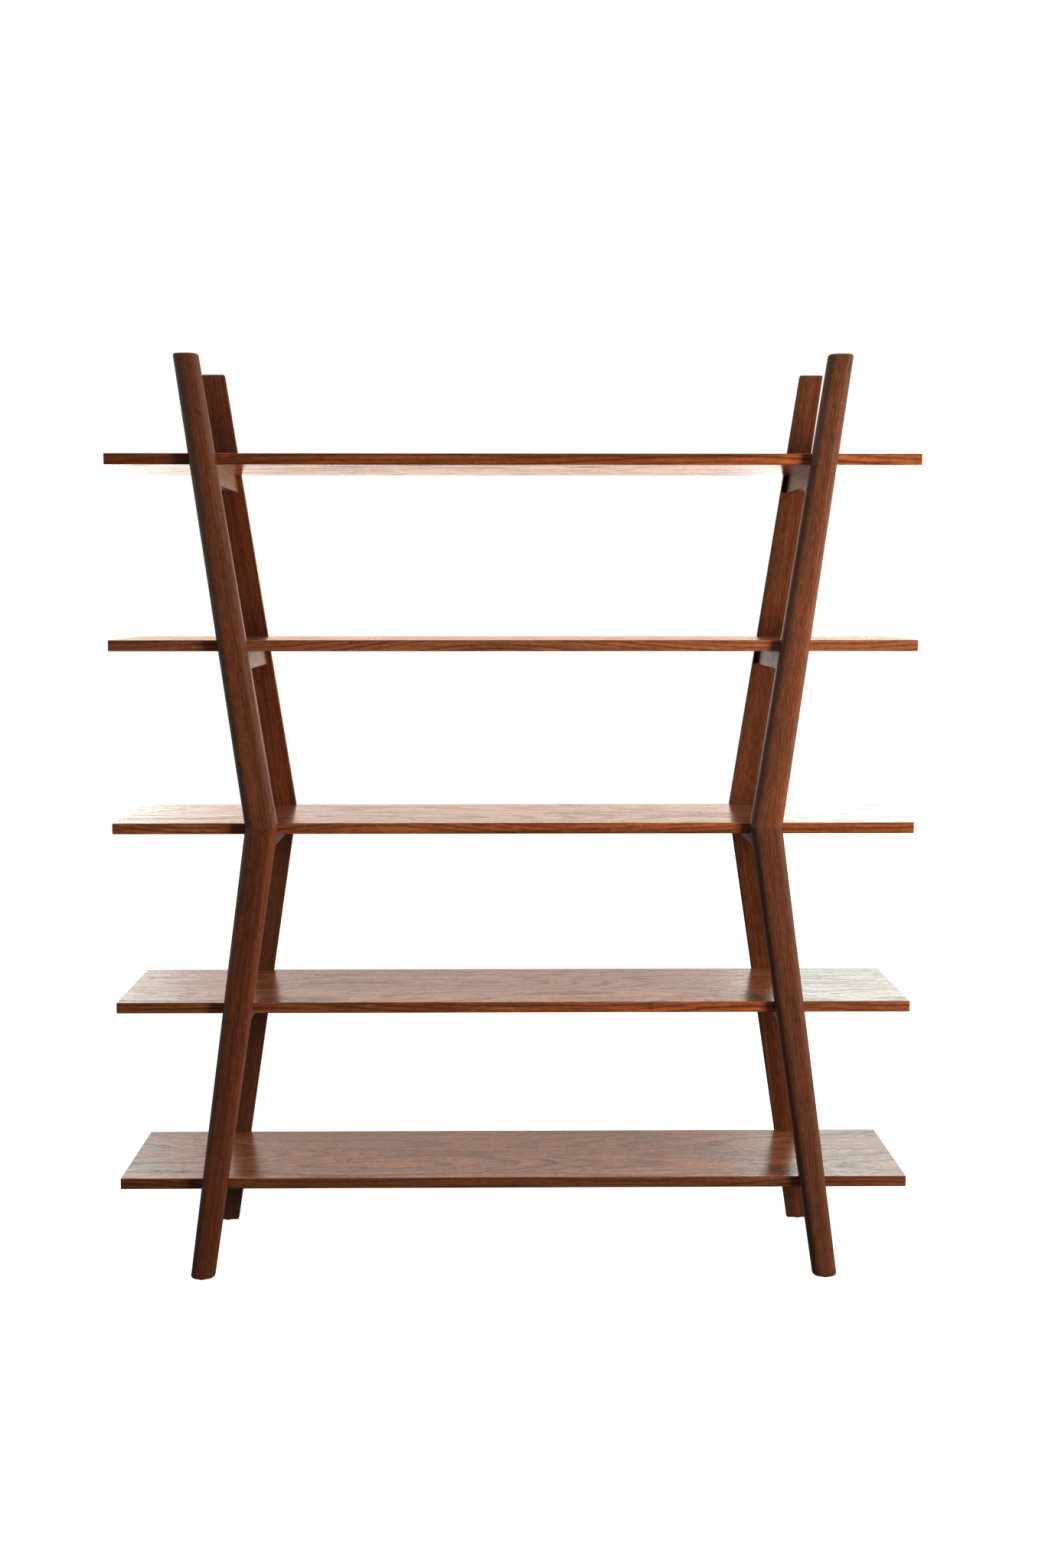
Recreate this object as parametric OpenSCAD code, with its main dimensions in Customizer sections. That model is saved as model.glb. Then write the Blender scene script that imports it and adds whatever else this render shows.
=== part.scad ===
// Open bookcase in solid wood. Five equal shelves rest on rails between front and rear legs.
// Every leg is two tapered halves that meet at the waist and lean outwards from it, up and down,
// with a flat face towards the shelves and a rounded face away from them.
// Millimetres, +Z up, +X to the right. The origin is on the floor under the middle of the bookcase,
// and the front faces -Y.

/* [Overall] */
// Height from the floor to the leg tops
overall_h = 1905; // [1850:5:2100]
// Length of each shelf
shelf_l = 1650; // [1450:10:1900]
// Depth of each shelf
shelf_d = 335; // [280:5:400]
// Thickness of each shelf
shelf_t = 22.5; // [18:0.5:30]
// Height of the middle shelf's upper face above the floor
middle_shelf_h = 960; // [958:1:966]
// Distance from one shelf to the next
shelf_pitch = 375; // [340:5:380]

/* [Legs] */
// Distance between the legs' inner edges and the middle plane, at the waist
waist_half_gap = 484; // [420:2:500]
// Distance between the legs' inner edges and the middle plane, at the feet and at the tops
end_half_gap = 629.5; // [560:0.5:640]
// Width of a leg at the waist
waist_w = 67; // [62:1:80]
// Width of a leg at its foot and at its top
end_w = 50.5; // [48:0.5:60]
// Depth of a leg, from its flat face to its rounded face
leg_d = 28; // [26:1:34]
// Radius of the two rounded front corners of a leg
leg_round_r = 18; // [8:1:20]
// Radius of the two small corners at a leg's flat face
leg_arris_r = 3; // [1:0.5:4]
// Clear gap between a shelf's edge and a leg's flat face
shelf_gap = 2; // [1:0.5:5]

/* [Rails] */
// Height of a rail
rail_h = 38; // [34:1:50]
// Width of a rail
rail_w = 25; // [22:1:28]
// How far a rail's inner face stands back from the legs' inner edges
rail_inset = 12; // [10:1:15]
// Width of a rail's tenon
tenon_w = 10; // [8:1:12]
// Height of a rail's tenon
tenon_h = 26; // [20:1:28]
// Length of a rail's tenon
tenon_l = 16; // [12:1:18]

/* [Hardware] */
// Diameter of a waist dowel
dowel_d = 10; // [8:1:12]
// Length of a waist dowel
dowel_l = 60; // [40:2:60]
// Diameter of a shelf screw's shank
screw_d = 4; // [3.5:0.5:5]
// Distance from one shelf screw to the other along a rail
screw_span = 220; // [150:10:240]
// Diameter of a foot glide
glide_d = 20; // [14:1:22]
// How far a foot glide stands out below the foot
glide_stand = 1.5; // [1:0.5:3]

/* [Hidden] */

$fn = 48;

board_color = "#8A4A26";
leg_color = "#5E2D18";
rail_color = "#6E3A22";
dowel_color = "#C9A26B";
steel_color = "#9A9A96";
glide_color = "#2B2624";

left = -1;
right = 1;
front = -1;
rear = 1;
below = -1;
above = 1;

// Shelf levels, counted from the middle shelf
top_level = 2;
upper_level = 1;
middle_level = 0;
lower_level = -1;
bottom_level = -2;
levels = [top_level, upper_level, middle_level, lower_level, bottom_level];

// The legs' flat faces, and the level joint in each leg
leg_face_y = shelf_d / 2 + shelf_gap;
waist_z = overall_h / 2;

// Room around a dowel, a tenon or a glide in its hole, and around a screw
joint_play = 0.15;
screw_play = 0.3;
// How far a cut runs past the faces of a solid
cut = 1;

// The waist dowels' distances from the leg's inner edge, on both sides of its middle
dowel_x_in = 15;
dowel_x_out = waist_w - 17;

// The screw's head sits up inside the rail
head_d = 8;
head_h = 3;
head_recess = 11;
screw_bite = 14;
screw_tip = 5;

// The glide's disc lies half sunk in the foot, on a short stem
glide_sink = 2.5;
glide_stem_d = 5;
glide_stem_l = 12;

// Distance from the middle plane to a leg's inner and outer edge, at any height
function lean(z) = min(abs(z - waist_z) / waist_z, 1);
function inner_x(z) = waist_half_gap + (end_half_gap - waist_half_gap) * lean(z);
function outer_x(z) = inner_x(z) + waist_w + (end_w - waist_w) * lean(z);

// Upper and lower face of the shelf at a level, and the middle height of its rails
function shelf_top(level) = middle_shelf_h + level * shelf_pitch;
function shelf_base(level) = shelf_top(level) - shelf_t;
function rail_mid(level) = shelf_base(level) - rail_h / 2;
function rail_mid_x(z) = inner_x(z) + rail_inset + rail_w / 2;

// A four-sided outline in the XZ plane that leans with the legs, drawn in X and Z
module leaning_outline(z, w, h) {
    low = z - h / 2;
    high = z + h / 2;
    polygon([
        [rail_mid_x(low) - w / 2, low], [rail_mid_x(low) + w / 2, low],
        [rail_mid_x(high) + w / 2, high], [rail_mid_x(high) - w / 2, high]
    ]);
}

// The leaning outline made solid, with its length l along Y and its middle at Y = 0
module leaning_bar(z, w, h, l) {
    rotate([90, 0, 0])
        linear_extrude(l, center = true)
            leaning_outline(z, w, h);
}

// The waste outside a round corner of radius r that lies in the first quadrant
module corner_waste(r) {
    difference() {
        translate([-cut, -cut]) square(r + cut);
        translate([r, r]) circle(r);
    }
}

// Section of a leg beside one of its edges: flat face at Y = 0, rounded face at Y = leg_d
module edge_section(w) {
    difference() {
        square([w, leg_d]);
        corner_waste(leg_arris_r);
        translate([0, leg_d]) mirror([0, 1]) corner_waste(leg_round_r);
    }
}

// That section run along the straight line from x_from, at the waist, to x_to, at the end
module edge_prism(x_from, x_to) {
    translate([x_from, 0, 0])
        rotate([0, atan2(x_to - x_from, waist_z), 0])
            translate([0, 0, -waist_z / 10])
                linear_extrude(waist_z * 1.2)
                    edge_section(waist_w * 2);
}

// A leg's upper half of height h, standing on the waist plane, right and rear, flat face at Y = 0
module half_blank(h) {
    intersection() {
        edge_prism(waist_half_gap, end_half_gap);
        mirror([1, 0, 0])
            edge_prism(-waist_half_gap - waist_w, -end_half_gap - end_w);
        translate([0, -cut, 0])
            cube([shelf_l, leg_d + 2 * cut, h]);
    }
}

// Mirrors what is drawn on the right over to the left, when that is the side
module on_side(side) {
    mirror([side == left ? 1 : 0, 0, 0])
        children();
}

// Puts what is drawn for the rear right leg, with its flat face at Y = 0, at any of the four legs
module at_leg(side, end) {
    on_side(side)
        mirror([0, end == front ? 1 : 0, 0])
            translate([0, leg_face_y, 0])
                children();
}

// The two waist dowels of a leg, or their holes when grow is above zero
module dowel_pair(grow) {
    for (x = [dowel_x_in, dowel_x_out])
        translate([waist_half_gap + x, leg_d / 2, waist_z - dowel_l / 2 - grow])
            cylinder(h = dowel_l + 2 * grow, d = dowel_d + 2 * grow);
}

// One glide with the middle of its sole at the origin, or its recess when grow is above zero
module glide(grow) {
    translate([0, 0, -grow])
        cylinder(h = glide_stand + glide_sink + 2 * grow, d = glide_d + 2 * grow);
    cylinder(h = glide_stand + glide_sink + glide_stem_l + grow, d = glide_stem_d + 2 * grow);
}

module at_foot() {
    translate([(inner_x(0) + outer_x(0)) / 2, leg_d / 2, 0])
        children();
}

// Half a leg, above or below the waist, with its mortises, dowel holes and glide recess.
// The lower half stops short of the floor, on its glide.
module leg(side, end, half) {
    h = half == above ? waist_z : waist_z - glide_stand;
    color(leg_color)
        at_leg(side, end)
            difference() {
                translate([0, 0, waist_z])
                    mirror([0, 0, half == above ? 0 : 1])
                        half_blank(h);
                for (level = levels)
                    leaning_bar(rail_mid(level), tenon_w + 2 * joint_play, tenon_h + 2 * joint_play,
                                2 * (tenon_l + joint_play));
                dowel_pair(joint_play);
                at_foot()
                    glide(joint_play);
            }
}

// A rail with a tenon at each end, under the shelf at a level
module rail(side, level) {
    z = rail_mid(level);
    span = 2 * leg_face_y;
    color(rail_color)
        on_side(side)
            difference() {
                union() {
                    leaning_bar(z, rail_w, rail_h, span);
                    leaning_bar(z, tenon_w, tenon_h, span + 2 * tenon_l);
                }
                for (y = [-screw_span / 2, screw_span / 2])
                    translate([rail_mid_x(z), y, z - rail_h / 2])
                        screw_hole();
            }
}

// A screw's hole through a rail and its head's recess, from the rail's lower face
module screw_hole() {
    translate([0, 0, -cut])
        cylinder(h = rail_h + 2 * cut, d = screw_d + 2 * screw_play);
    translate([0, 0, -cut])
        cylinder(h = head_recess + cut, d = head_d + 2 * screw_play);
}

// One screw, upright, drawn from the lower face of its rail
module screw() {
    body_top = rail_h + screw_bite - screw_tip;
    translate([0, 0, head_recess - head_h])
        cylinder(h = head_h, d = head_d);
    translate([0, 0, head_recess])
        cylinder(h = body_top - head_recess, d = screw_d);
    translate([0, 0, body_top])
        cylinder(h = screw_tip, d1 = screw_d, d2 = screw_d / 4);
}

// Places its children at each of the screws of the shelf at a level
module at_screws(level) {
    z = rail_mid(level);
    for (side = [left, right], y = [-screw_span / 2, screw_span / 2])
        translate([side * rail_mid_x(z), y, z - rail_h / 2])
            children();
}

// A shelf board with blind pilot holes for its screws
module shelf(level) {
    color(board_color)
        difference() {
            translate([-shelf_l / 2, -shelf_d / 2, shelf_base(level)])
                cube([shelf_l, shelf_d, shelf_t]);
            at_screws(level)
                cylinder(h = rail_h + screw_bite + cut, d = screw_d + 2 * screw_play);
        }
}

module top_shelf() shelf(top_level);
module upper_shelf() shelf(upper_level);
module middle_shelf() shelf(middle_level);
module lower_shelf() shelf(lower_level);
module bottom_shelf() shelf(bottom_level);

module front_left_upper_leg() leg(left, front, above);
module front_left_lower_leg() leg(left, front, below);
module front_right_upper_leg() leg(right, front, above);
module front_right_lower_leg() leg(right, front, below);
module rear_left_upper_leg() leg(left, rear, above);
module rear_left_lower_leg() leg(left, rear, below);
module rear_right_upper_leg() leg(right, rear, above);
module rear_right_lower_leg() leg(right, rear, below);

module top_left_rail() rail(left, top_level);
module upper_left_rail() rail(left, upper_level);
module middle_left_rail() rail(left, middle_level);
module lower_left_rail() rail(left, lower_level);
module bottom_left_rail() rail(left, bottom_level);
module top_right_rail() rail(right, top_level);
module upper_right_rail() rail(right, upper_level);
module middle_right_rail() rail(right, middle_level);
module lower_right_rail() rail(right, lower_level);
module bottom_right_rail() rail(right, bottom_level);

module waist_dowels() {
    color(dowel_color)
        for (side = [left, right], end = [front, rear])
            at_leg(side, end)
                dowel_pair(0);
}

module shelf_screws() {
    color(steel_color)
        for (level = levels)
            at_screws(level)
                screw();
}

module foot_glides() {
    color(glide_color)
        for (side = [left, right], end = [front, rear])
            at_leg(side, end)
                at_foot()
                    glide(0);
}

top_shelf();
upper_shelf();
middle_shelf();
lower_shelf();
bottom_shelf();
front_left_upper_leg();
front_left_lower_leg();
front_right_upper_leg();
front_right_lower_leg();
rear_left_upper_leg();
rear_left_lower_leg();
rear_right_upper_leg();
rear_right_lower_leg();
top_left_rail();
upper_left_rail();
middle_left_rail();
lower_left_rail();
bottom_left_rail();
top_right_rail();
upper_right_rail();
middle_right_rail();
lower_right_rail();
bottom_right_rail();
waist_dowels();
shelf_screws();
foot_glides();
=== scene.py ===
# %% [markdown]
# # An open bookcase in sheesham, built as a lesson
#
# The bookcase has five level shelves between two pairs of legs that bend outwards at the waist.
# Each step below says what a piece or a finish is on the real bookcase, how it could be made in
# Blender, and why this way was chosen. Every length is in metres unless its name ends in `_mm`.

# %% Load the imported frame
import math

import bpy
import numpy as np
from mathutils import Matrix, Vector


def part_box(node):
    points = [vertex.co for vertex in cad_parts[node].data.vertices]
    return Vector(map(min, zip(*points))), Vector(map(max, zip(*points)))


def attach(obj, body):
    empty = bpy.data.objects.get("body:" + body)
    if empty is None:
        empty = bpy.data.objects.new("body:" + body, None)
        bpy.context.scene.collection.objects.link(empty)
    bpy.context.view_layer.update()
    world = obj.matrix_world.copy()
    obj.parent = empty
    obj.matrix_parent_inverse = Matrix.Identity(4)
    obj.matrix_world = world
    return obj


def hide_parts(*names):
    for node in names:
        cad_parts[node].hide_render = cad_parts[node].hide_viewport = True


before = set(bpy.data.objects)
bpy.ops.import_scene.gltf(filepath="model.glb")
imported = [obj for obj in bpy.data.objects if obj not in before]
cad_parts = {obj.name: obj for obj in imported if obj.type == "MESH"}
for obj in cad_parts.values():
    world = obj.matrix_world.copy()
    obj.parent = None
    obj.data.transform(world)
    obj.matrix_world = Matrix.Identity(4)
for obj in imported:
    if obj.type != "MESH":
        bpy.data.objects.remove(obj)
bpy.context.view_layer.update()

# %% [markdown]
# ## The camera
#
# A bookcase this wide is pictured from about four metres, a little above its middle, with a normal
# lens. The place and the tilt could be set by eye. Here they come from the perspective of the level
# shelves, because the top shelf shows its underside and the third shows a sliver of its top, and
# only one eye height does both.

# %% Place the camera
EYE = (-0.0256, -3.8681, 1.4305)
TILT_DOWN = math.radians(6.013)
PAN_RIGHT = math.radians(0.665)
SENSOR_MM = 36.0
LENS_MM = 41.64

camera_data = bpy.data.cameras.new("camera")
camera_data.sensor_fit = "VERTICAL"
camera_data.sensor_height = SENSOR_MM
camera_data.lens = LENS_MM
camera = bpy.data.objects.new("camera", camera_data)
camera.location = EYE
camera.rotation_euler = (math.pi / 2 - TILT_DOWN, 0.0, -PAN_RIGHT)
bpy.context.scene.collection.objects.link(camera)
bpy.context.scene.camera = camera
bpy.context.scene.view_settings.view_transform = "Standard"
print("camera at", EYE, "with a lens of", LENS_MM, "mm")

# %% [markdown]
# ## Node helpers
#
# A procedural material is a small graph. One helper adds a node, sets its properties, and either
# fills its inputs or joins them, so that each line of a material reads like a sentence. Sums and
# colour ramps turn up on every other line, so they get a short form of their own.
# Colours are written as sRGB hex, as a paint chart gives them, and one function makes them linear.


# %% Helpers for colours and nodes
def linear(hex_colour, alpha=1.0):
    """sRGB hex to linear: c/12.92 below 0.04045, else ((c+0.055)/1.055) to the power 2.4."""
    c = np.array([int(hex_colour[k:k + 2], 16) for k in (1, 3, 5)]) / 255.0
    return tuple(np.where(c <= 0.04045, c / 12.92, ((c + 0.055) / 1.055) ** 2.4)) + (alpha,)


def add(tree, kind, inputs=None, **properties):
    """Adds a node of one kind; inputs maps a socket's name or number to a value or to a socket."""
    made = tree.nodes.new(kind)
    for name, value in properties.items():
        setattr(made, name, value)
    for key, value in (inputs or {}).items():
        if isinstance(value, bpy.types.NodeSocket):
            tree.links.new(value, made.inputs[key])
        else:
            made.inputs[key].default_value = value
    return made


def calc(tree, operation, *values):
    """Adds one arithmetic node and gives its result."""
    return add(tree, "ShaderNodeMath", dict(enumerate(values)), operation=operation).outputs[0]


def ramp(tree, factor, stops, interpolation="EASE"):
    """Adds a colour ramp whose stops are (position, brightness) or (position, linear colour)."""
    made = add(tree, "ShaderNodeValToRGB", {0: factor})
    made.color_ramp.interpolation = interpolation
    marks = made.color_ramp.elements
    marks[0].position, marks[1].position = stops[0][0], stops[-1][0]
    for position, _ in stops[1:-1]:
        marks.new(position)
    for mark, (_, colour) in zip(marks, stops):
        mark.color = colour if isinstance(colour, tuple) else (colour, colour, colour, 1.0)
    return made.outputs["Color"]


def empty_material(name):
    """A new material with an empty graph, and that graph."""
    material = bpy.data.materials.new(name)
    material.use_nodes = True
    material.node_tree.nodes.clear()
    return material, material.node_tree


print("a red-brown stain in linear light:", [round(c, 3) for c in linear("#6b3a20")[:3]])

# %% [markdown]
# ## The light
#
# The bookcase stands before a bright white wall in a soft studio. The wall lights it from behind,
# the ceiling from above, the side walls a little from each end, and one soft window from the right.
# Nothing bright is behind the camera, so the fronts stay dark and rich, while the shelf tops, seen
# at a low angle, mirror the wall and turn pale. Area lights could do all of this, but a world whose
# brightness depends on direction has less noise, so it does the ceiling and the side walls. The
# camera itself meets plain white wherever it looks past the bookcase.

# %% The studio around the bookcase
WALL_WHITE = "#ffffff"
ROOM_WHITE = "#fffdfa"
CEILING_LEVEL = 1.2
LEAST_LEVEL = 0.01
world = bpy.data.worlds.new("white_studio")
bpy.context.scene.world = world
world.use_nodes = True
sky = world.node_tree
sky.nodes.clear()
heading = add(sky, "ShaderNodeTexCoord").outputs["Generated"]
way = add(sky, "ShaderNodeSeparateXYZ", {0: heading}).outputs
# Each runs from 0 to 1: from left to right, from front to back, and from the floor to the ceiling.
side, back, rise = (
    add(sky, "ShaderNodeMapRange", {0: way[part], 1: -1.0, 2: 1.0}).outputs[0] for part in "XYZ")

# The ceiling, a little light that the room throws back, and the two side walls, the right one brighter.
ceiling = ramp(sky, rise, [(0.70, 0.0), (0.90, 1.0)])
flanks = ramp(sky, back, [(0.10, 0.0), (0.30, 0.06), (0.50, 0.16), (0.80, 0.16), (1.0, 0.1)])
side_walls = ramp(sky, side, [(0.0, 0.5), (0.22, 0.15), (0.45, 0.0), (0.80, 0.0), (0.97, 1.0)])
room = calc(sky, "ADD", calc(sky, "MULTIPLY_ADD", ceiling, CEILING_LEVEL, LEAST_LEVEL), flanks)
room = calc(sky, "ADD", room, side_walls)
ambient = add(sky, "ShaderNodeBackground", {"Color": linear(ROOM_WHITE), "Strength": room}).outputs[0]
wall = add(sky, "ShaderNodeBackground", {"Color": linear(WALL_WHITE), "Strength": 1.0}).outputs[0]
seen = add(sky, "ShaderNodeLightPath").outputs["Is Camera Ray"]
both = add(sky, "ShaderNodeMixShader", {0: seen, 1: ambient, 2: wall}).outputs[0]
add(sky, "ShaderNodeOutputWorld", {0: both})
print("studio:", len(sky.nodes), "nodes")

# %% [markdown]
# ## The wall behind
#
# The wall is what the shelf tops mirror, so its brightness is painted where each shelf looks at it:
# dim in the middle, bright towards both sides, and brightest a little below eye height. In the
# world's own colours it would be endlessly far away, and all the mirrored patches would shift
# together. A sheet three metres behind gives each shelf its own patch. The camera looks through it.
# Its levels suit this one viewing angle; from behind, the shelf tops show their plain dark brown.

# %% The bright wall behind
WALL_Y = 3.0
WALL_HALF_WIDE, WALL_HIGH = 3.0, 3.2
WALL_LEVEL = 10.8


def sheet(name, corners):
    """A flat stage sheet with four corners."""
    mesh = bpy.data.meshes.new(name)
    mesh.from_pydata(corners, [], [(0, 1, 2, 3)])
    made = bpy.data.objects.new(name, mesh)
    bpy.context.scene.collection.objects.link(made)
    return made


wall_sheet = sheet("wall", [(WALL_HALF_WIDE, WALL_Y, 0.0), (-WALL_HALF_WIDE, WALL_Y, 0.0),
                            (-WALL_HALF_WIDE, WALL_Y, WALL_HIGH), (WALL_HALF_WIDE, WALL_Y, WALL_HIGH)])
wall_material, glow_tree = empty_material("bright_wall")
spot = add(glow_tree, "ShaderNodeSeparateXYZ",
           {0: add(glow_tree, "ShaderNodeTexCoord").outputs["Object"]}).outputs
# 0 to 1 stands for 2.5 m left to 2.5 m right of the middle, and for 0 to 2.5 m above the floor.
wall_x = add(glow_tree, "ShaderNodeMapRange", {0: spot["X"], 1: -2.5, 2: 2.5}).outputs[0]
wall_z = add(glow_tree, "ShaderNodeMapRange", {0: spot["Z"], 1: 0.0, 2: 2.5}).outputs[0]
# Across: dim in the middle, bright panels beyond 1.4 m on the left and 1.1 m on the right.
panels = ramp(glow_tree, wall_x, [(0.0, 0.5), (0.20, 0.80), (0.232, 0.60), (0.256, 0.44), (0.285, 0.36),
                                  (0.34, 0.26), (0.56, 0.25), (0.655, 0.30), (0.70, 0.58), (0.73, 0.90),
                                  (0.80, 0.88), (1.0, 0.45)])
# Upwards: brightest at 1.36 m, just below eye height, and dim towards the floor and the ceiling.
bands = ramp(glow_tree, wall_z, [(0.0, 0.03), (0.36, 0.08), (0.424, 0.17), (0.464, 0.39), (0.504, 0.20),
                                 (0.528, 0.96), (0.545, 1.02), (0.585, 0.80), (0.61, 0.74), (0.65, 0.42),
                                 (0.80, 0.42), (1.0, 0.15)])
# Above 1.4 m the wall is a little warmer, as under a timber ceiling.
warmth = ramp(glow_tree, wall_z, [(0.54, linear("#ffffff")), (0.585, linear("#ffd4b4"))])
# Daylight reaches the sheet's ends and leaves them a little cooler than its middle.
cooling = ramp(glow_tree, wall_x, [(0.20, linear("#f0ffff")), (0.30, linear("#ffffff")),
                                   (0.66, linear("#ffffff")), (0.73, linear("#e6ffff"))])
tint = add(glow_tree, "ShaderNodeVectorMath", {0: warmth, 1: cooling}, operation="MULTIPLY").outputs[0]
# Above 1.4 m the panels all but fade to one level.
evened = add(glow_tree, "ShaderNodeMapRange", {0: wall_z, 1: 0.56, 2: 0.59, 3: 0.0, 4: 0.95}).outputs[0]
panels = add(glow_tree, "ShaderNodeMix", {0: evened, 2: panels, 3: 0.33}).outputs[0]
level = calc(glow_tree, "MULTIPLY", calc(glow_tree, "MULTIPLY", panels, bands), WALL_LEVEL)
shine_wall = add(glow_tree, "ShaderNodeEmission", {"Color": tint, "Strength": level}).outputs[0]
clear = add(glow_tree, "ShaderNodeBsdfTransparent").outputs[0]
to_eye = add(glow_tree, "ShaderNodeLightPath").outputs["Is Camera Ray"]
hidden = add(glow_tree, "ShaderNodeMixShader", {0: to_eye, 1: shine_wall, 2: clear}).outputs[0]
add(glow_tree, "ShaderNodeOutputMaterial", {0: hidden})
wall_sheet.data.materials.append(wall_material)
print("wall", 2 * WALL_HALF_WIDE, "m wide at", WALL_Y, "m")

# %% [markdown]
# ## The window
#
# One soft window in front and to the right models the rounded legs: it lights their right halves
# and leaves the left ones dark, and it makes the front edges lighter towards the right. A sun would
# cut hard shadows; an area lamp of about a square metre keeps them soft.

# %% One soft window on the right
WINDOW_AT = np.array((2.7, -2.1, 1.20))
WINDOW_SIZE = (0.9, 1.1)
WINDOW_WATTS = 215.0
WINDOW_AIM = np.array((0.2, 0.0, 1.2))
window = bpy.data.lights.new("window", "AREA")
window.shape = "RECTANGLE"
window.size, window.size_y = WINDOW_SIZE
window.energy = WINDOW_WATTS
window.color = linear("#fff6ee")[:3]
window_object = bpy.data.objects.new("window", window)
window_object.location = WINDOW_AT
aim = WINDOW_AIM - WINDOW_AT
turn = math.atan2(aim[1], aim[0]) - math.pi / 2
tip = math.atan2(aim[2], math.hypot(aim[0], aim[1])) + math.pi / 2
window_object.rotation_euler = (tip, 0.0, turn)
# The lacquer mirrors no window: seen from behind, it would lie as a white bar on the shelves.
window_object.visible_glossy = False
bpy.context.scene.collection.objects.link(window_object)
print("window of", WINDOW_SIZE, "m and", WINDOW_WATTS, "W")

# %% [markdown]
# ## Surfaces from numbers
#
# Every wooden piece here is one section carried along a straight line: a rectangle with rounded
# corners, which shrinks a little at each end where the sawn edge was eased with sandpaper.
# A bevelled box would do for a shelf, but not for a leg, whose width changes along its length and
# whose front corners are rounder than the back ones. One function gives the section, one closes a
# stack of sections into a skin, and both work on whole arrays.


# %% The section of a board
GATHER = 0.46
LEAST_R = 1e-4


def gathered(count):
    """Steps between 0 and 1, both left out, that crowd to the ends: s + g*sin(2*pi*(s-1/2))/pi."""
    steps = np.linspace(0.0, 1.0, count + 2)[1:-1]
    return steps + GATHER * np.sin(2 * np.pi * (steps - 0.5)) / np.pi


def section(width, depth, inset, face_r, back_r, crown=0.0, arc=8, along=6):
    """Points round a rounded rectangle, for every row at once: shape (rows, points, 2).

    Each corner is centre + r*(cos a, sin a) over a quarter turn, with r the corner's radius less the
    inset. The straight sides join the arcs in gathered steps. Across is -width/2 to width/2, deep
    is 0 at the back and `depth` at the face, and the face sinks by crown*(across/half width)^2.
    """
    half = width[:, None] / 2.0
    small = inset[:, None]
    arcs = []
    for side, end, start in ((1, 0, -90), (1, 1, 0), (-1, 1, 90), (-1, 0, 180)):
        angle = np.radians(start + np.linspace(0.0, 90.0, arc))[None, :]
        r = np.maximum((face_r if end else back_r) - small, LEAST_R)
        across = side * (half - small - r) + r * np.cos(angle)
        middle = (depth - small - r) if end else (small + r)
        deep = middle + r * np.sin(angle)
        if end:
            deep = deep - crown * (across / half) ** 2
        arcs.append(np.stack([across, deep], -1))
    steps = gathered(along)[None, :, None]
    parts = []
    for k in range(4):
        a, b = arcs[k][:, -1:, :], arcs[(k + 1) % 4][:, :1, :]
        flat = a * (1.0 - steps) + b * steps
        if k == 1:
            flat[..., 1] = depth - small - crown * (flat[..., 0] / half) ** 2
        parts += [arcs[k], flat]
    return np.concatenate(parts, 1)


demo = section(np.array([0.067]), 0.028, np.array([0.0]), 0.018, 0.003)
print("one leg section has", demo.shape[1], "points")


# %% [markdown]
# A sawn end is eased over a millimetre or more, so the first and last rows follow a quarter circle.
# A cap of one flat face would shade badly next to it. Here the end closes in three smaller rings and
# a single point, which keeps the rim crisp and the flat end flat.


# %% Rows with eased ends, and the skin over them
CLOSING = np.array([0.0, 0.5, 0.9, 0.985])


def stations(length, ease_start, ease_end, middle_rows=14, arc=6):
    """Place, inset and shrink of each row: a quarter circle of radius `ease` rounds each end.

    On it the place is ease*(1-cos a) and the inset ease*(1-sin a), then the flat end closes by
    shrinking to one point. Shape (3, rows).
    """
    a = np.linspace(0.0, np.pi / 2, arc)
    lead = np.zeros_like(CLOSING)
    start = np.array([ease_start * (1 - np.cos(a)), ease_start * (1 - np.sin(a)), np.ones(arc)])
    stop = np.array([length - ease_end * (1 - np.cos(a)), ease_end * (1 - np.sin(a)), np.ones(arc)])
    body = ease_start + gathered(middle_rows) * (length - ease_start - ease_end)
    return np.concatenate([
        np.array([lead, lead + ease_start, CLOSING]), start,
        np.array([body, 0 * body, 0 * body + 1.0]), stop[:, ::-1],
        np.array([lead + length, lead + ease_end, CLOSING[::-1]])], 1)


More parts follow.
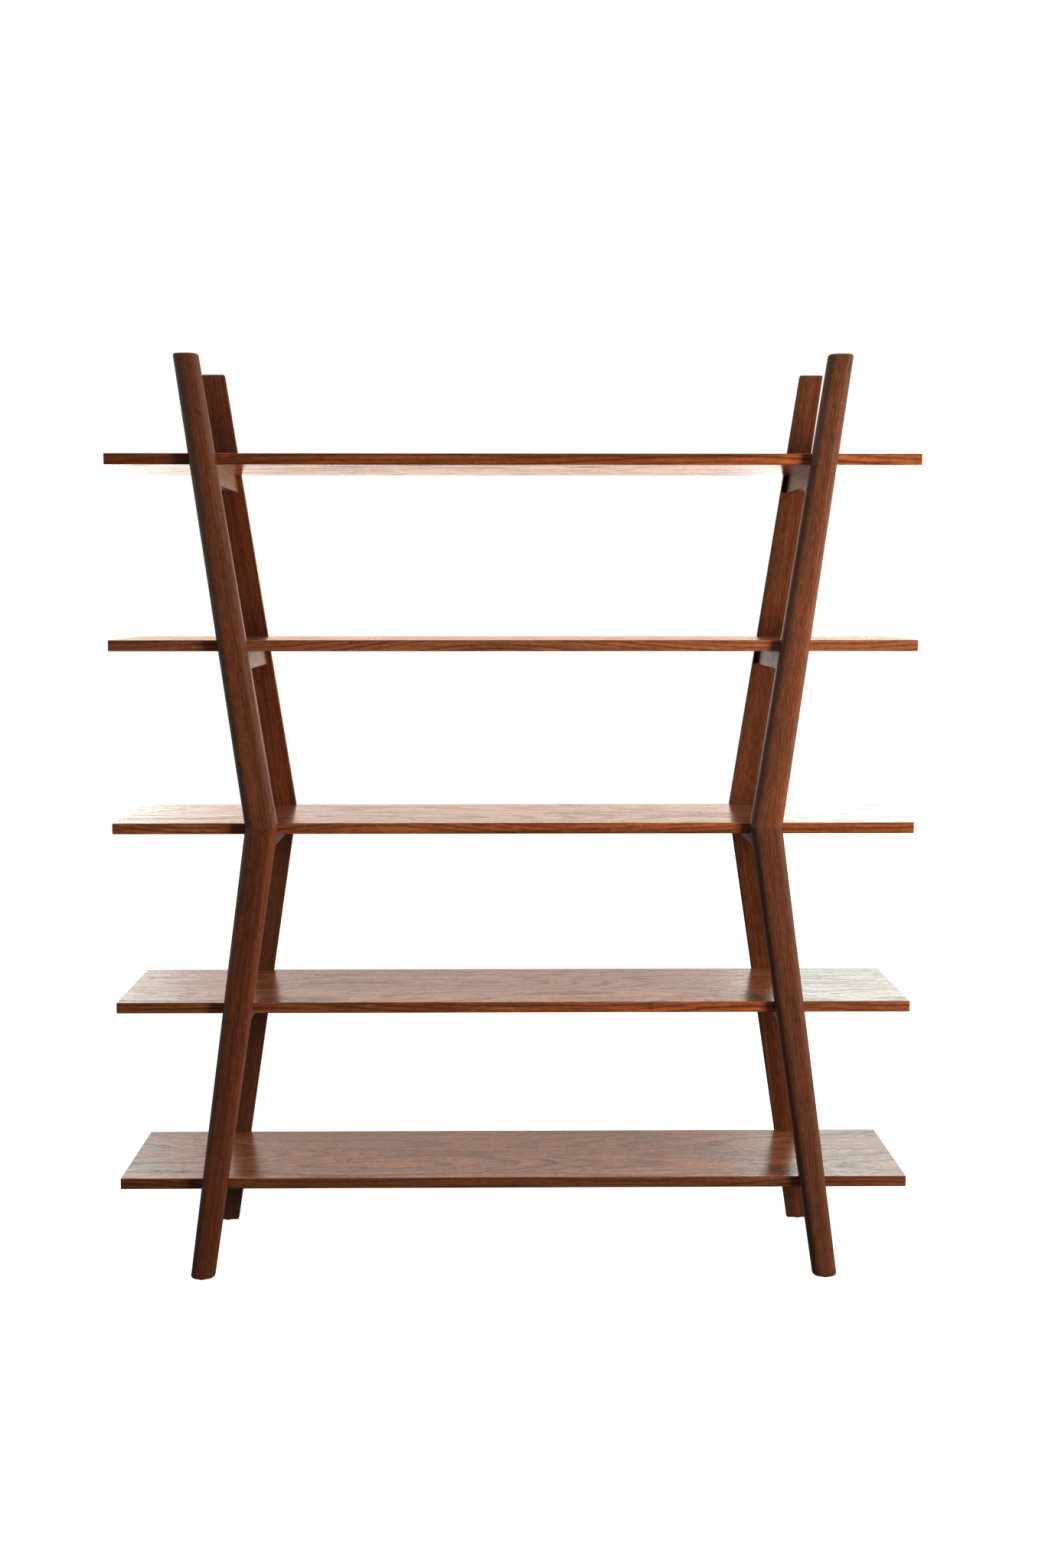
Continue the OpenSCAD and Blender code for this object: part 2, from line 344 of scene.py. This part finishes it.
def skin(name, rows, grain, stain_and_light):
    """Closes rows of points, shape (rows, points, 3), whose first and last rows are single points.

    Quads join neighbours round each row, fans close the two poles, and the whole is turned inside
    out if the sum of its tetrahedra to the origin is negative. `grain`, the place in the log, and a
    brightness that holds the stain together with some painted light and shade ride along as
    attributes of the points.
    """
    count, around_row = rows.shape[:2]
    points = np.concatenate([rows[0, :1], rows[1:-1].reshape(-1, 3), rows[-1, :1]])
    fibre = np.concatenate([grain[0, :1], grain[1:-1].reshape(-1, 3), grain[-1, :1]])
    ids = 1 + np.arange((count - 2) * around_row).reshape(count - 2, around_row)
    beside = np.roll(ids, -1, 1)
    quads = np.stack([ids[:-1], beside[:-1], beside[1:], ids[1:]], -1).reshape(-1, 4)
    last = len(points) - 1
    first_fan = np.stack([0 * ids[0], beside[0], ids[0]], -1)
    last_fan = np.stack([0 * ids[-1] + last, ids[-1], beside[-1]], -1)
    fans = np.concatenate([first_fan, last_fan])
    halves = np.concatenate([quads[:, :3], quads[:, [0, 2, 3]], fans])
    a, b, c = (points[halves[:, k]] for k in range(3))
    if np.einsum("ij,ij->i", a, np.cross(b, c)).sum() < 0:
        quads, fans = quads[:, ::-1], fans[:, ::-1]
    mesh = bpy.data.meshes.new(name)
    mesh.from_pydata(points.tolist(), [], quads.tolist() + fans.tolist())
    mesh.polygons.foreach_set("use_smooth", np.ones(len(mesh.polygons), bool))
    mesh.attributes.new("grain", "FLOAT_VECTOR", "POINT").data.foreach_set("vector", fibre.ravel())
    stain_and_light = np.broadcast_to(stain_and_light, rows.shape[:2])
    depth = np.concatenate([stain_and_light[0, :1], stain_and_light[1:-1].ravel(), stain_and_light[-1, :1]])
    mesh.attributes.new("stain_and_light", "FLOAT", "POINT").data.foreach_set("value", depth)
    mesh.update()
    piece = bpy.data.objects.new(name, mesh)
    bpy.context.scene.collection.objects.link(piece)
    return piece


print("a shelf of these rows has", stations(1.65, 0.0015, 0.0015).shape[1], "rows")

# %% [markdown]
# ## The wood
#
# The real boards are sheesham, a red-brown rosewood with darker growth rings, sanded and sprayed
# with a clear semi-gloss lacquer. A wood picture could be wrapped round each piece, but then the
# figure on a shelf's top would not run on over its edge. Instead each piece carries its place in
# the log as an attribute: x along the fibres, y across the board and z through its thickness.
# The ring a point lies in follows from its distance to the heart of the log, and that one number
# gives long flames on flat-sawn faces, lines on edges and arcs on the end grain.


# %% Sheesham under lacquer
def sheesham(name, palette, board_mm, heart_mm, swing_mm, side_mm, ring_mm, ring_depth, fibre_mm,
             roughness, shine=0.5, in_object=False):
    """Lacquered sheesham. Rings: r = sqrt(t^2 + h^2), t across from the heart, h above it.

    The palette is dark, brown, red and gold. Strips of board_mm are cut heart_mm above the heart,
    which lies side_mm off their middle and swings by swing_mm along the log. A ring is ring_mm wide
    and its late line covers the colour by ring_depth; bundles of fibres are fibre_mm wide. The
    lacquer has a roughness and a shine. A piece without the log's attributes is read in_object.
    """
    material, tree = empty_material(name)

    def maths(operation, *values):
        return calc(tree, operation, *values)

    def noise(vector, size_mm, detail=2.0, rough=0.5):
        """Noise whose features are size_mm = (along, across, deep) in real millimetres."""
        scaled = add(tree, "ShaderNodeMapping", {"Vector": vector, "Scale": size_mm},
                     vector_type="TEXTURE").outputs[0]
        made = add(tree, "ShaderNodeTexNoise", {"Vector": scaled, "Scale": 1.0, "Detail": detail,
                                                "Roughness": rough})
        return made.outputs["Fac"]

    def blend(factor, under, over):
        return add(tree, "ShaderNodeMix", {0: factor, 6: under, 7: over}, data_type="RGBA").outputs[2]

    if in_object:
        # The rails lie along Y and are CAD nodes, so their own coordinates stand in for the log's.
        place = add(tree, "ShaderNodeTexCoord").outputs["Object"]
        place = add(tree, "ShaderNodeMapping", {"Vector": place,
                    "Rotation": (0.0, 0.0, math.pi / 2)}).outputs[0]
        stain_and_light = None
    else:
        place = add(tree, "ShaderNodeAttribute", attribute_name="grain").outputs["Vector"]
        stain_and_light = add(tree, "ShaderNodeAttribute", attribute_name="stain_and_light").outputs["Fac"]
    mm = add(tree, "ShaderNodeVectorMath", {0: place, "Scale": 1000.0}, operation="SCALE").outputs[0]
    axis = add(tree, "ShaderNodeSeparateXYZ", {0: mm}).outputs

    # Boards are glued edge to edge; each comes from another place in the log.
    index = maths("FLOOR", maths("DIVIDE", axis["Y"], board_mm))
    chance = add(tree, "ShaderNodeTexWhiteNoise", {"W": maths("ADD", index, 0.37)},
                 noise_dimensions="1D").outputs
    pick = add(tree, "ShaderNodeSeparateColor", {0: chance["Color"]}).outputs
    from_middle = maths("SUBTRACT", axis["Y"], maths("MULTIPLY", maths("ADD", index, 0.5), board_mm))
    shift = maths("MULTIPLY", maths("SUBTRACT", pick["Red"], 0.5), board_mm * 0.5)
    across = maths("ADD", maths("ADD", from_middle, shift), side_mm)
    along = maths("MULTIPLY_ADD", pick["Green"], 5000.0, axis["X"])
    log = add(tree, "ShaderNodeCombineXYZ", {0: along, 1: axis["Y"], 2: axis["Z"]}).outputs[0]

    # The heart wanders over 900 mm of the log, so a flat-sawn face cuts the rings into long flames.
    wander = noise(log, (900.0, 300.0, 300.0), 1.0, 0.4)
    wander = maths("MULTIPLY", maths("SUBTRACT", wander, 0.5), swing_mm)
    below = maths("ADD", maths("MULTIPLY_ADD", pick["Blue"], heart_mm * 0.5, heart_mm), axis["Z"])
    below = maths("ADD", below, wander)
    radius = maths("SQRT", maths("ADD", maths("MULTIPLY", across, across), maths("MULTIPLY", below, below)))
    # Each ring is a little crinkled, over 9 mm across and 48 mm along.
    crinkle = maths("SUBTRACT", noise(log, (48.0, 9.0, 9.0), 3.0, 0.6), 0.5)
    radius = maths("MULTIPLY_ADD", crinkle, ring_mm * 0.28, radius)

    # Each ring darkens slowly and ends in a sharp late line; good and bad years differ in depth.
    ring_at = maths("DIVIDE", radius, ring_mm)
    year = add(tree, "ShaderNodeTexWhiteNoise", {"W": maths("FLOOR", ring_at)},
               noise_dimensions="1D").outputs["Value"]
    late_line = ramp(tree, maths("FRACT", ring_at), [(0.0, 0.25), (0.10, 0.0), (0.45, 0.05), (0.84, 1.0),
                                                     (0.93, 0.9), (1.0, 0.25)])
    late_line = maths("MULTIPLY", late_line, maths("MULTIPLY_ADD", year, 0.85, 0.15))
    # Fibres are drawn as bundles a few millimetres wide; single ones would be too fine to see.
    fibre = noise(log, (210.0, fibre_mm, fibre_mm), 4.0, 0.66)
    # Streaks of colour some 20 mm wide run for the best part of a metre.
    streak = noise(log, (640.0, 17.0, 17.0), 3.0, 0.55)
    # Pores are 0.2 mm wide in the real wood, drawn 1.1 mm wide and 20 mm long so that they show.
    pore = noise(log, (19.0, 1.15, 1.15), 2.0, 0.5)
    pore = ramp(tree, pore, [(0.56, 0.0), (0.66, 1.0)], "LINEAR")
    # Golden clouds, 45 mm across, are where the heartwood took less of the stain.
    cloud = noise(log, (180.0, 45.0, 45.0), 3.0, 0.6)
    # Interlocked grain turns the light every 7 mm or so and leaves a faint mottle.
    mottle = noise(log, (22.0, 7.0, 7.0), 2.0, 0.6)

    dark, brown, red, gold = (linear(colour) for colour in palette)
    colour = blend(ramp(tree, fibre, [(0.30, 0.0), (0.70, 1.0)], "LINEAR"), dark, brown)
    colour = blend(ramp(tree, streak, [(0.42, 0.0), (0.66, 0.75)]), colour, red)
    colour = blend(maths("MULTIPLY", ramp(tree, cloud, [(0.50, 0.0), (0.74, 1.0)]), 0.4), colour, gold)
    # Some strips are greyer than others.
    colour = blend(maths("MULTIPLY", pick["Red"], 0.55), colour, linear("#6b4a36"))
    colour = blend(maths("MULTIPLY", late_line, ring_depth), colour, dark)
    colour = blend(maths("MULTIPLY", pore, 0.6), colour, linear("#160a06"))
    lift = maths("MULTIPLY_ADD", chance["Value"], 0.34, 0.83)
    lift = maths("MULTIPLY", lift, maths("MULTIPLY_ADD", mottle, 0.9, 0.55))
    # The brightness attribute is stain and painted light and shade together: the top shelf's pale underside,
    # long edges lighter to the right, and darker lower legs.
    if stain_and_light is not None:
        lift = maths("MULTIPLY", lift, stain_and_light)
    bright = add(tree, "ShaderNodeVectorMath", {0: colour, "Scale": lift}, operation="SCALE").outputs[0]

    # Lacquer lies smooth over the dense late wood and sinks into the pores.
    grit = noise(log, (60.0, 6.0, 6.0), 3.0, 0.6)
    rough = maths("MULTIPLY_ADD", grit, 0.14, roughness - 0.07)
    rough = maths("MULTIPLY_ADD", pore, 0.14, rough)
    rough = maths("MULTIPLY_ADD", late_line, 0.08, rough)
    height = maths("MULTIPLY_ADD", pore, -0.8, maths("MULTIPLY", fibre, 0.3))
    height = maths("MULTIPLY_ADD", late_line, -0.5, height)
    bump = add(tree, "ShaderNodeBump", {"Strength": 0.25, "Distance": 0.00025, "Height": height})
    shader = add(tree, "ShaderNodeBsdfPrincipled", {"Base Color": bright, "Roughness": rough,
                                                    "Normal": bump.outputs[0], "IOR": 1.5,
                                                    "Specular IOR Level": shine})
    add(tree, "ShaderNodeOutputMaterial", {0: shader.outputs[0]})
    return material


SHELF_STAIN = ("#3c1b0d", "#8f4c27", "#9a4e27", "#b66d38")
LEG_STAIN = ("#2c1208", "#6c3014", "#763616", "#87471d")
SHELF_CUT = {"board_mm": 84.0, "heart_mm": 46.0, "swing_mm": 190.0, "side_mm": 0.0, "ring_mm": 11.0,
             "ring_depth": 0.76, "fibre_mm": 4.0}
LEG_CUT = {"board_mm": 400.0, "heart_mm": 60.0, "swing_mm": 40.0, "side_mm": 75.0, "ring_mm": 5.0,
           "ring_depth": 0.42, "fibre_mm": 2.2}
# On the shelves the lacquer is thick and gives a pale, soft mirror at low angles.
shelf_wood = sheesham("lacquered_sheesham_shelf", SHELF_STAIN, roughness=0.22, **SHELF_CUT)
# On the legs it is rubbed down: darker wood with a broad, weak sheen.
leg_wood = sheesham("lacquered_sheesham_leg", LEG_STAIN, roughness=0.38, shine=0.32, **LEG_CUT)
# On the rails it is thin and dull, so only a pale haze shows where light grazes them.
rail_wood = sheesham("lacquered_sheesham_rail", LEG_STAIN, roughness=0.44, in_object=True, **LEG_CUT)
for wood in (shelf_wood, leg_wood, rail_wood):
    print(wood.name, "has", len(wood.node_tree.nodes), "nodes")

# %% [markdown]
# ## The shelves
#
# Each shelf is a board of 22.5 mm, glued up from four strips, with arrises just broken by sanding.
# The section is carried along X. The five boards take five different lengths of the log, so that
# no two tops show the same flames.

# %% Five shelves
ARRIS = 0.0016
END_GRAIN = 0.45
draws = np.random.default_rng(41)


def measured(node):
    """Lowest and highest corner of a CAD node, as two numpy rows."""
    low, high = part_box(node)
    return np.array(low), np.array(high)


def shelf_board(node, offset, face_tone, edge_tone, under_stain_and_light, painted_edge_light):
    """A board: section (y, z) carried along x from one end of the CAD node to the other.

    The top, the two long edges and the underside each have their own brightness: stain, and on the
    top shelf's underside painted light from below. The long edges also take painted light that grows
    towards +x, by the given share at that end, and the sawn ends drink more stain.
    """
    low, high = measured(node)
    size, middle = high - low, (low + high) / 2
    place, inset, shrink = stations(size[0], ARRIS, ARRIS, 30)
    ring = section(np.full(len(place), size[1]), size[2], inset, ARRIS, ARRIS, along=10)
    ring[..., 0] *= shrink[:, None]
    ring[..., 1] = (ring[..., 1] - size[2] / 2) * shrink[:, None]
    x = np.broadcast_to(low[0] + place[:, None], ring.shape[:2])
    y = ring[..., 0] + middle[1]
    z = ring[..., 1] + middle[2]
    grain = np.stack([x, y, z - z.mean()], -1) + offset
    on_face = np.abs(y - middle[1]) < size[1] / 2 - ARRIS * 0.9
    # Painted light: the long edges grow lighter towards +x, the window's side, by the given share.
    edge = edge_tone * (1.0 + painted_edge_light * x / high[0])
    stain_and_light = np.where(on_face, np.where(z > middle[2], face_tone, under_stain_and_light), edge)
    at_end = np.minimum(x - low[0], high[0] - x) < ARRIS * 0.1
    stain_and_light = np.where(at_end, END_GRAIN * edge_tone, stain_and_light)
    return skin(node + "_board", np.stack([x, y, z], -1), grain, stain_and_light)


# Brightness of top, edges and underside, 1 being the palette's own, and the share of painted light that
# makes the long edges lighter towards the right.
# The top shelf's 3.8 is no real stain: it stands in for light thrown up from below, and makes that
# face too pale and orange in any other light. About 1.2, as on the other boards, would be the wood's.
SHELF_TONES_AND_LIGHT = {"top_shelf": (1.0, 0.90, 3.8, 0.45), "upper_shelf": (1.1, 1.0, 1.2, 0.25),
               "middle_shelf": (1.1, 1.05, 1.2, 0.05), "lower_shelf": (1.15, 0.95, 1.2, 0.0),
               "bottom_shelf": (1.0, 0.45, 1.0, 0.1)}
for node, shelf_stain_and_light in SHELF_TONES_AND_LIGHT.items():
    # Across, the offset is a whole number of 84 mm strips and a half, so that all strips stay equal.
    offset = np.array([draws.uniform(0, 40), 0.084 * draws.integers(3, 60) + 0.042,
                       draws.uniform(0, 0.02)])
    piece = shelf_board(node, offset, *shelf_stain_and_light)
    piece.data.materials.append(shelf_wood)
    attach(piece, "root")
    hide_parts(node)
    print(piece.name, len(piece.data.polygons), "faces")

# %% [markdown]
# ## The legs
#
# Each leg is two tapered halves, joined at the waist where the leg bends. The corners away from the
# shelves are rounded broadly, as with a large router bit, and the free end is eased by hand. A bar
# could be bent by a lattice, but the real leg is two straight pieces, so two straight skins are made.
# The taper and the lean come from the CAD halves: their widths at the waist and at the free end.

# %% Eight leg halves
FACE_R = 0.018
BACK_R = 0.003
END_EASE = 0.0045
SEAM_EASE = 0.0006
CROWN = 0.0020


def span_at(node, z, within=0.0008):
    """Lowest and highest x of a CAD node's vertices that lie at height z."""
    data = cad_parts[node].data
    co = np.empty(len(data.vertices) * 3, np.float32)
    data.vertices.foreach_get("co", co)
    co = co.reshape(-1, 3)
    x = co[np.abs(co[:, 2] - z) < within, 0]
    return float(x.min()), float(x.max())


def leg_half(node, offset, stain_and_light):
    """A leg half: sections (x, y) stacked from the waist to the free end, both edges straight lines.

    The place in the log is turned by the lean, so that the fibres run along the leg.
    """
    low, high = measured(node)
    above = "upper" in node
    waist, end = (low[2], high[2]) if above else (high[2], low[2])
    waist_span, end_span = span_at(node, waist), span_at(node, end)
    place, inset, shrink = stations(abs(end - waist), SEAM_EASE, END_EASE, 24)
    share = place / abs(end - waist)
    left = waist_span[0] + (end_span[0] - waist_span[0]) * share
    right = waist_span[1] + (end_span[1] - waist_span[1]) * share
    ring = section(right - left, high[1] - low[1], inset, FACE_R, BACK_R, CROWN)
    half_deep = (high[1] - low[1]) / 2
    ring = np.stack([ring[..., 0], ring[..., 1] - half_deep], -1) * shrink[:, None, None]
    outward = -1.0 if "front" in node else 1.0
    middle = ((left + right) / 2)[:, None]
    x = middle + ring[..., 0]
    y = (low[1] + high[1]) / 2 + outward * ring[..., 1]
    z = np.broadcast_to((waist + np.sign(end - waist) * place)[:, None], x.shape)
    lean = math.atan2((end_span[0] + end_span[1] - waist_span[0] - waist_span[1]) / 2, end - waist)
    from_axis = np.stack([x - sum(waist_span) / 2, z - waist], -1)
    fibre = from_axis[..., 0] * math.sin(lean) + from_axis[..., 1] * math.cos(lean)
    side = from_axis[..., 0] * math.cos(lean) - from_axis[..., 1] * math.sin(lean)
    grain = np.stack([fibre, side, ring[..., 1]], -1) + offset
    return skin(node + "_wood", np.stack([x, y, z], -1), grain, stain_and_light)


# Brightness of each half, 1 being the palette's own: partly the halves' own stain, partly painted shade, for
# the lower halves are darker where less light reaches them near the floor.
LEG_TONES_AND_SHADE = {"front_left_upper_leg": 0.76, "front_left_lower_leg": 0.72, "front_right_upper_leg": 0.66,
             "front_right_lower_leg": 0.54, "rear_left_upper_leg": 0.75, "rear_left_lower_leg": 0.45,
             "rear_right_upper_leg": 0.65, "rear_right_lower_leg": 0.5}
for node, stain_and_light in LEG_TONES_AND_SHADE.items():
    offset = np.array([draws.uniform(0, 40), 0.2 + 0.4 * draws.integers(1, 9), draws.uniform(0, 0.04)])
    piece = leg_half(node, offset, stain_and_light)
    piece.data.materials.append(leg_wood)
    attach(piece, "root")
    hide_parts(node)
    print(piece.name, len(piece.data.polygons), "faces")

# %% [markdown]
# ## The rails
#
# A short rail under each end of a shelf ties the front leg to the rear one and carries the shelf on
# two screws. It is a sawn bar that leans with the legs and ends in a tenon at each side, and the CAD
# already has that shape. It could be modelled again, but a copy would add nothing, so it only gets
# its finish: the same wood, sprayed thinly and duller, because nobody polishes under a shelf.

# %% Ten rails in thinly lacquered sheesham
for node in sorted(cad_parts):
    if node.endswith("_rail"):
        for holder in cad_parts[node].material_slots:
            holder.material = rail_wood
        print(node, "in", rail_wood.name)

# %% [markdown]
# ## Screws, glides and dowels
#
# The small parts are turned or moulded, so the CAD shapes are right and only the surfaces are left
# to make. Zinc plating is a pale grey metal with faint cloudy patches from the bath. Moulded nylon
# is dark, and its fine spark-eroded grain makes it satin. The dowels are plain beech, never seen
# unless the bookcase is taken apart: a pale wood with short brown flecks.


# %% Three finishes for the small parts
def fitting_finish(name, dull_hex, light_hex, grain_mm, rough_low, rough_high, relief_mm, metallic=0.0):
    """Two colours, the roughness and a relief, all mixed by one noise whose grains are grain_mm."""
    material, tree = empty_material(name)
    spot = add(tree, "ShaderNodeTexCoord").outputs["Object"]
    # The coordinates are metres; dividing them by the grain's size makes one grain one unit.
    size = [0.001 * mm for mm in grain_mm]
    spot = add(tree, "ShaderNodeMapping", {"Vector": spot, "Scale": size}, vector_type="TEXTURE").outputs[0]
    grain = add(tree, "ShaderNodeTexNoise", {"Vector": spot, "Scale": 1.0, "Detail": 3.0}).outputs["Fac"]
    tint = ramp(tree, grain, [(0.35, linear(dull_hex)), (0.65, linear(light_hex))], "LINEAR")
    rough = add(tree, "ShaderNodeMapRange", {0: grain, 3: rough_low, 4: rough_high}).outputs[0]
    bump = add(tree, "ShaderNodeBump", {"Strength": 0.4, "Distance": relief_mm / 1000.0, "Height": grain})
    shader = add(tree, "ShaderNodeBsdfPrincipled", {"Base Color": tint, "Roughness": rough,
                                                    "Normal": bump.outputs[0], "Metallic": metallic})
    add(tree, "ShaderNodeOutputMaterial", {0: shader.outputs[0]})
    return material


FITTINGS = {
    # Plating bath clouds are centimetres wide; here 2.5 mm, so that one screw head shows some.
    "shelf_screws": fitting_finish("zinc_plated_steel", "#9a9ea3", "#c9cbcc", (2.5, 2.5, 2.5),
                                   0.28, 0.45, 0.02, 1.0),
    # Spark-eroded grain is about 0.1 mm; here 0.6 mm, so that it still reads as satin.
    "foot_glides": fitting_finish("moulded_nylon", "#1c1613", "#2a211c", (0.6, 0.6, 0.6),
                                  0.42, 0.60, 0.05),
    # Beech flecks are under a millimetre wide and several millimetres long.
    "waist_dowels": fitting_finish("plain_beech", "#b98a5e", "#d9b58a", (0.8, 0.8, 9.0),
                                   0.55, 0.70, 0.05),
}
for node, finish in FITTINGS.items():
    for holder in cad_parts[node].material_slots:
        holder.material = finish
    print(node, "in", finish.name)

# %% [markdown]
# ## The floor
#
# The bookcase stands on a matt white floor that runs into the wall without a corner. An ordinary
# white floor would do, but it would throw light up on to the fronts and leave a grey rim in the
# lacquer. So the camera sees plain white paint, and every other ray meets a much darker floor,
# darkest in front.

# %% Floor
FLOOR_HALF = 7.0
FLOOR_GLOW = 0.6
floor = sheet("floor", [(-FLOOR_HALF, -FLOOR_HALF, 0.0), (FLOOR_HALF, -FLOOR_HALF, 0.0),
                        (FLOOR_HALF, FLOOR_HALF, 0.0), (-FLOOR_HALF, FLOOR_HALF, 0.0)])
floor_paint, paint = empty_material("matt_white_paint")
floor_place = add(paint, "ShaderNodeTexCoord").outputs["Object"]
# Rolled paint varies a little over a third of a metre.
spots = add(paint, "ShaderNodeTexNoise", {"Scale": 3.0, "Detail": 2.0, "Vector": floor_place}).outputs["Fac"]
paint_colour = ramp(paint, spots, [(0.3, linear("#f6f5f3")), (0.7, linear("#fbfaf8"))])
lit = add(paint, "ShaderNodeBsdfDiffuse", {"Color": paint_colour}).outputs[0]
glow = add(paint, "ShaderNodeEmission", {"Color": paint_colour, "Strength": FLOOR_GLOW}).outputs[0]
shown = add(paint, "ShaderNodeMixShader", {0: 0.5, 1: lit, 2: glow}).outputs[0]
shown = add(paint, "ShaderNodeAddShader", {0: shown, 1: glow}).outputs[0]
# Every other ray meets a grey from 0.03 in front to 0.16 behind, over two metres each way.
floor_y = add(paint, "ShaderNodeSeparateXYZ", {0: floor_place}).outputs["Y"]
shade = add(paint, "ShaderNodeMapRange", {0: floor_y, 1: -2.0, 2: 2.0}).outputs[0]
shade = ramp(paint, shade, [(0.42, 0.03), (0.60, 0.16)])
grey = add(paint, "ShaderNodeBsdfDiffuse", {"Color": shade}).outputs[0]
grey_glow = add(paint, "ShaderNodeEmission", {"Color": shade, "Strength": FLOOR_GLOW}).outputs[0]
dim = add(paint, "ShaderNodeAddShader", {0: grey, 1: grey_glow}).outputs[0]
to_camera = add(paint, "ShaderNodeLightPath").outputs["Is Camera Ray"]
paint_shader = add(paint, "ShaderNodeMixShader", {0: to_camera, 1: dim, 2: shown}).outputs[0]
add(paint, "ShaderNodeOutputMaterial", {0: paint_shader})
floor.data.materials.append(floor_paint)
print("floor of", 2 * FLOOR_HALF, "m")
